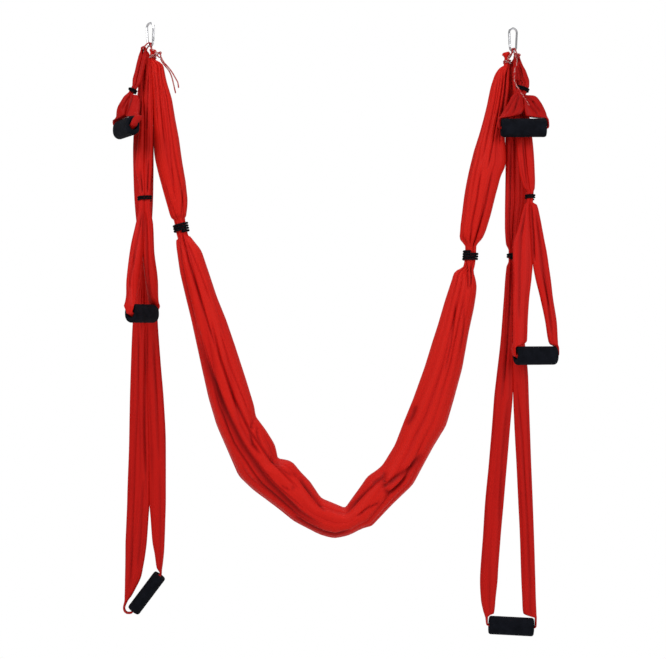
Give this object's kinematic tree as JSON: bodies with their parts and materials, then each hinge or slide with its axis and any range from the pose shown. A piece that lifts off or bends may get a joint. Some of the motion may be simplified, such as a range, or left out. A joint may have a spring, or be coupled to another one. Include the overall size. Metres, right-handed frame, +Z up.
{
  "type": "aerial hammock",
  "caption": "Aerial hammock: a gathered cloth sling with loop handles in foam grips, hung by cords from snap hooks.",
  "frame": {"origin": "middle of the line between the inner tops of the two hooks' bows, where the hammock is carried", "axes": "+Z up, along the hang; -Y the front, as pictured; +X to the right as seen from the front"},
  "size_m": [1.1134, 0.1815, 1.5353],
  "materials": {
    "cloth_red": "satin stretch cloth",
    "foam_black": "fine-pored foam",
    "tie_black": "braided elastic",
    "cord_red": "braided cord, red with white flecks",
    "hook_steel": "bright zinc",
    "pin_steel": "plain"
  },
  "bodies": {
    "anchor_set": {"left_hook_body": "hook_steel", "left_hook_pin": "pin_steel", "left_strap_cord": "cord_red", "right_hook_body": "hook_steel", "right_hook_pin": "pin_steel", "right_strap_cord": "cord_red", "right_knot": "cord_red", "right_tail": "cord_red"},
    "left_gate": {"left_hook_gate": "hook_steel", "left_hook_spring": "pin_steel"},
    "right_gate": {"right_hook_gate": "hook_steel", "right_hook_spring": "pin_steel"},
    "sling": {"sling": "cloth_red", "left_drawcord": "cord_red", "right_drawcord": "cord_red", "left_knot": "cord_red", "left_tail_long": "cord_red", "left_tail_short": "cord_red"},
    "left_main_tie": {"left_main_tie": "tie_black"},
    "right_main_tie": {"right_main_tie": "tie_black"},
    "left_short_strap": {"left_short_strap": "cloth_red"},
    "left_short_grip": {"left_short_grip": "foam_black"},
    "left_short_tie": {"left_short_tie": "tie_black"},
    "left_mid_strap": {"left_mid_strap": "cloth_red"},
    "left_mid_grip": {"left_mid_grip": "foam_black"},
    "left_mid_tie": {"left_mid_tie": "tie_black"},
    "left_long_strap": {"left_long_strap": "cloth_red"},
    "left_long_grip": {"left_long_grip": "foam_black"},
    "left_long_tie": {"left_long_tie": "tie_black"},
    "right_short_strap": {"right_short_strap": "cloth_red"},
    "right_short_grip": {"right_short_grip": "foam_black"},
    "right_short_tie": {"right_short_tie": "tie_black"},
    "right_mid_strap": {"right_mid_strap": "cloth_red"},
    "right_mid_grip": {"right_mid_grip": "foam_black"},
    "right_mid_tie": {"right_mid_tie": "tie_black"},
    "right_long_strap": {"right_long_strap": "cloth_red"},
    "right_long_grip": {"right_long_grip": "foam_black"},
    "right_long_tie": {"right_long_tie": "tie_black"}
  },
  "joints": [
    {"name": "left_gate_hinge", "type": "hinge", "parent": "anchor_set", "child": "left_gate", "pos_m": [-0.44572, -0.00458, -0.03188], "axis": [-0.515, -0.8572, 0], "range_deg": [0, 25], "stiffness_Nm_per_rad": 0.02, "springref_deg": -11.46},
    {"name": "right_gate_hinge", "type": "hinge", "parent": "anchor_set", "child": "right_gate", "pos_m": [0.44499, -0.00304, -0.04487], "axis": [-0.342, 0.9397, 0], "range_deg": [0, 25], "stiffness_Nm_per_rad": 0.02, "springref_deg": -11.46},
    {"name": "sling_swing", "type": "hinge", "parent": "anchor_set", "child": "sling", "pos_m": [0, 0, -0.05775], "axis": [0.9999, 0, -0.0156], "range_deg": [-35, 35]},
    {"name": "left_main_tie_slide", "type": "slide", "parent": "sling", "child": "left_main_tie", "axis": [0.188, 0, -0.9822], "range_m": [-0.004, 0.004]},
    {"name": "right_main_tie_slide", "type": "slide", "parent": "sling", "child": "right_main_tie", "axis": [0.0807, 0, 0.9967], "range_m": [-0.004, 0.004]},
    {"name": "left_short_strap_swing", "type": "hinge", "parent": "left_mid_strap", "child": "left_short_strap", "pos_m": [-0.46905, -0.0125, -0.0585], "axis": [0, 1, 0], "range_deg": [0, 45]},
    {"name": "left_short_grip_roll", "type": "hinge", "parent": "left_short_strap", "child": "left_short_grip", "pos_m": [-0.50695, -0.055, -0.2594], "axis": [0.4384, -0.8988, 0], "continuous": true},
    {"name": "left_short_tie_slide", "type": "slide", "parent": "left_short_strap", "child": "left_short_tie", "axis": [-0.4583, -0.184, -0.8696], "range_m": [-0.0025, 0.0025]},
    {"name": "left_mid_strap_swing", "type": "hinge", "parent": "anchor_set", "child": "left_mid_strap", "pos_m": [-0.46905, 0, -0.0585], "axis": [0, 1, 0], "range_deg": [0, 45]},
    {"name": "left_mid_grip_roll", "type": "hinge", "parent": "left_mid_strap", "child": "left_mid_grip", "pos_m": [-0.46775, -0.05, -0.717], "axis": [0.4067, 0.9135, 0], "continuous": true},
    {"name": "left_mid_tie_slide", "type": "slide", "parent": "left_mid_strap", "child": "left_mid_tie", "axis": [0.002, -0.0757, -0.9971], "range_m": [-0.005, 0.005]},
    {"name": "left_long_strap_swing", "type": "hinge", "parent": "anchor_set", "child": "left_long_strap", "pos_m": [-0.46905, 0.0125, -0.0585], "axis": [0, 1, 0], "range_deg": [0, 45]},
    {"name": "left_long_grip_roll", "type": "hinge", "parent": "left_long_strap", "child": "left_long_grip", "pos_m": [-0.46755, 0.045, -1.4224], "axis": [0.6018, 0, 0.7986], "continuous": true},
    {"name": "left_long_tie_slide", "type": "slide", "parent": "left_long_strap", "child": "left_long_tie", "axis": [0.0011, 0.0238, -0.9997], "range_m": [-0.005, 0.005]},
    {"name": "right_short_strap_swing", "type": "hinge", "parent": "anchor_set", "child": "right_short_strap", "pos_m": [0.46235, -0.0125, -0.0765], "axis": [0, -1, 0], "range_deg": [0, 45]},
    {"name": "right_short_grip_roll", "type": "hinge", "parent": "right_short_strap", "child": "right_short_grip", "pos_m": [0.47435, -0.048, -0.2583], "axis": [1, 0, 0], "continuous": true},
    {"name": "right_short_tie_slide", "type": "slide", "parent": "right_short_strap", "child": "right_short_tie", "axis": [-0.352, -0.1794, -0.9187], "range_m": [-0.0025, 0.0025]},
    {"name": "right_mid_strap_swing", "type": "hinge", "parent": "anchor_set", "child": "right_mid_strap", "pos_m": [0.46235, 0, -0.0765], "axis": [0, -1, 0], "range_deg": [0, 45]},
    {"name": "right_mid_grip_roll", "type": "hinge", "parent": "right_mid_strap", "child": "right_mid_grip", "pos_m": [0.50485, -0.045, -0.821], "axis": [0.9272, 0.3746, 0], "continuous": true},
    {"name": "right_mid_tie_slide", "type": "slide", "parent": "right_mid_strap", "child": "right_mid_tie", "axis": [-0.0702, -0.0602, -0.9957], "range_m": [-0.005, 0.005]},
    {"name": "right_long_strap_swing", "type": "hinge", "parent": "anchor_set", "child": "right_long_strap", "pos_m": [0.46235, 0.0125, -0.0765], "axis": [0, -1, 0], "range_deg": [0, 45]},
    {"name": "right_long_grip_roll", "type": "hinge", "parent": "right_long_strap", "child": "right_long_grip", "pos_m": [0.44885, 0, -1.4978], "axis": [0.9986, 0, -0.0523], "continuous": true},
    {"name": "right_long_tie_slide", "type": "slide", "parent": "right_long_strap", "child": "right_long_tie", "axis": [-0.0095, -0.0088, -0.9999], "range_m": [-0.005, 0.005]}
  ]
}
